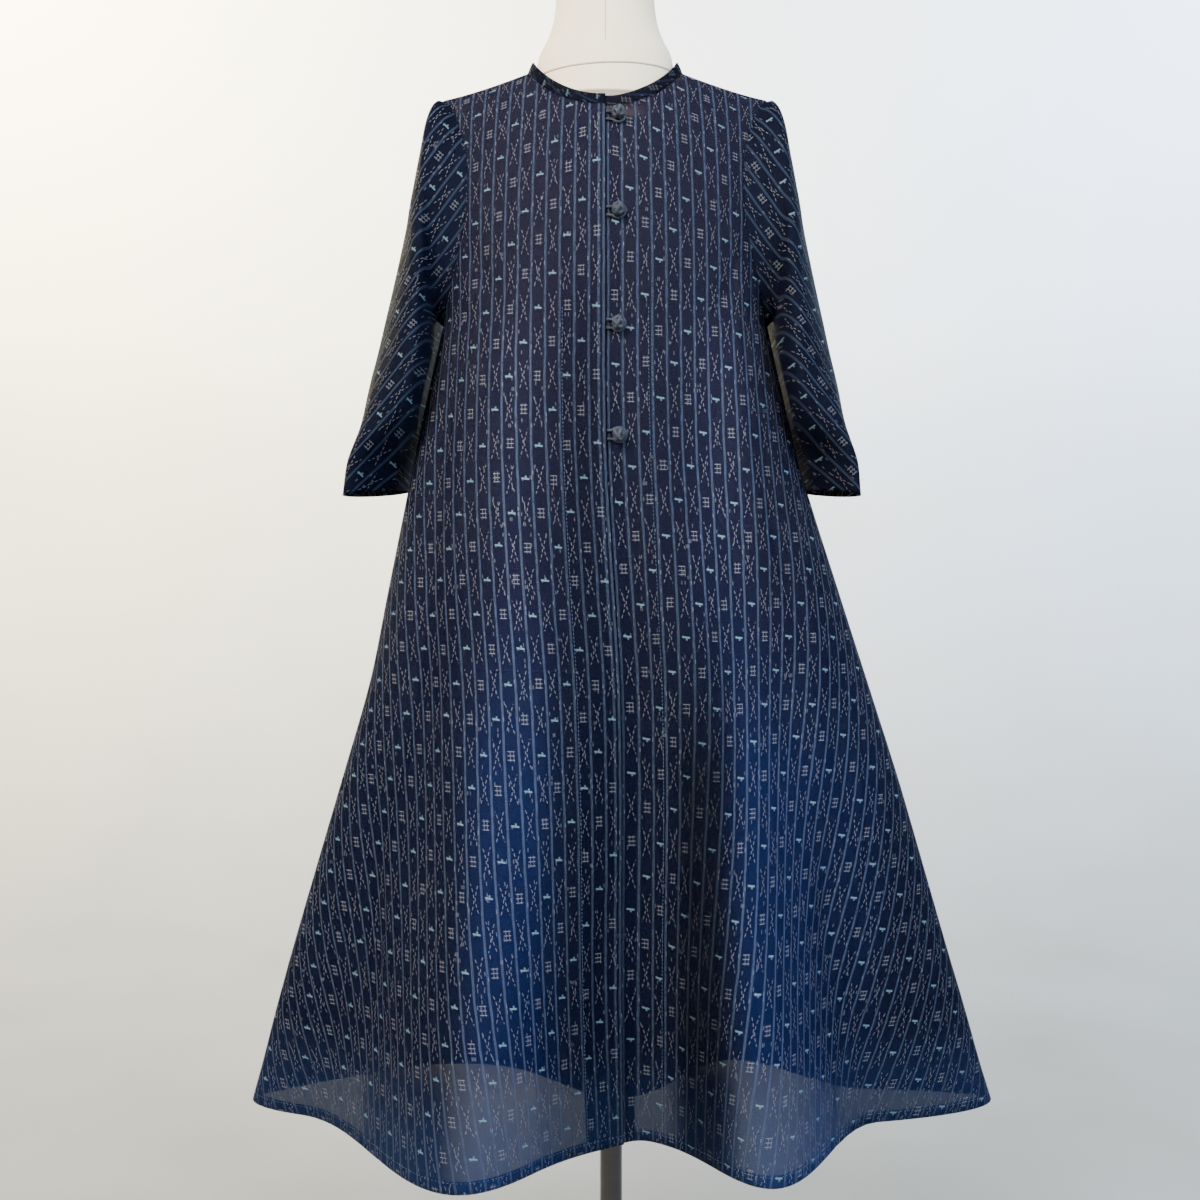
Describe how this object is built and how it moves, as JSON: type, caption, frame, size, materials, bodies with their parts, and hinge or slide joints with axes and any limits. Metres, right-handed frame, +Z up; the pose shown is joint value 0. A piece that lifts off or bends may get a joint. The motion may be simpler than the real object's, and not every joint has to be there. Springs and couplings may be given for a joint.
{
  "type": "kimono summer coat on a dress form",
  "caption": "Long flared summer coat of sheer striped kimono gauze with set-in sleeves, a narrow neck band and knot buttons, worn on a limbless dress form on a pole and round base.",
  "frame": {"origin": "centre of the base's underside, under the pole", "axes": "+Z up along the pole, -Y the coat's front, +X the wearer's left"},
  "size_m": [0.912, 0.4394, 1.668],
  "materials": {
    "gauze": "sheer plain weave with thin stripes",
    "doubled_gauze": "two layers of the sheer weave",
    "cord": "twisted cloth cord",
    "jersey": "smooth ivory knit cover",
    "pole": "brushed, warm grey",
    "base": "satin paint"
  },
  "bodies": {
    "root": {"front_right": "gauze", "front_left": "gauze", "front_side_right": "gauze", "front_side_left": "gauze", "back_right": "gauze", "back_left": "gauze", "back_side_right": "gauze", "back_side_left": "gauze", "sleeve_right": "gauze", "sleeve_left": "gauze", "neck_band": "doubled_gauze", "facing_right": "doubled_gauze", "facing_left": "doubled_gauze", "pocket_right": "doubled_gauze", "pocket_left": "doubled_gauze", "form": "jersey", "pole": "pole", "base": "base", "knot_1": "cord", "loop_1": "cord", "knot_2": "cord", "loop_2": "cord", "knot_3": "cord", "loop_3": "cord", "knot_4": "cord", "loop_4": "cord"}
  },
  "joints": []
}
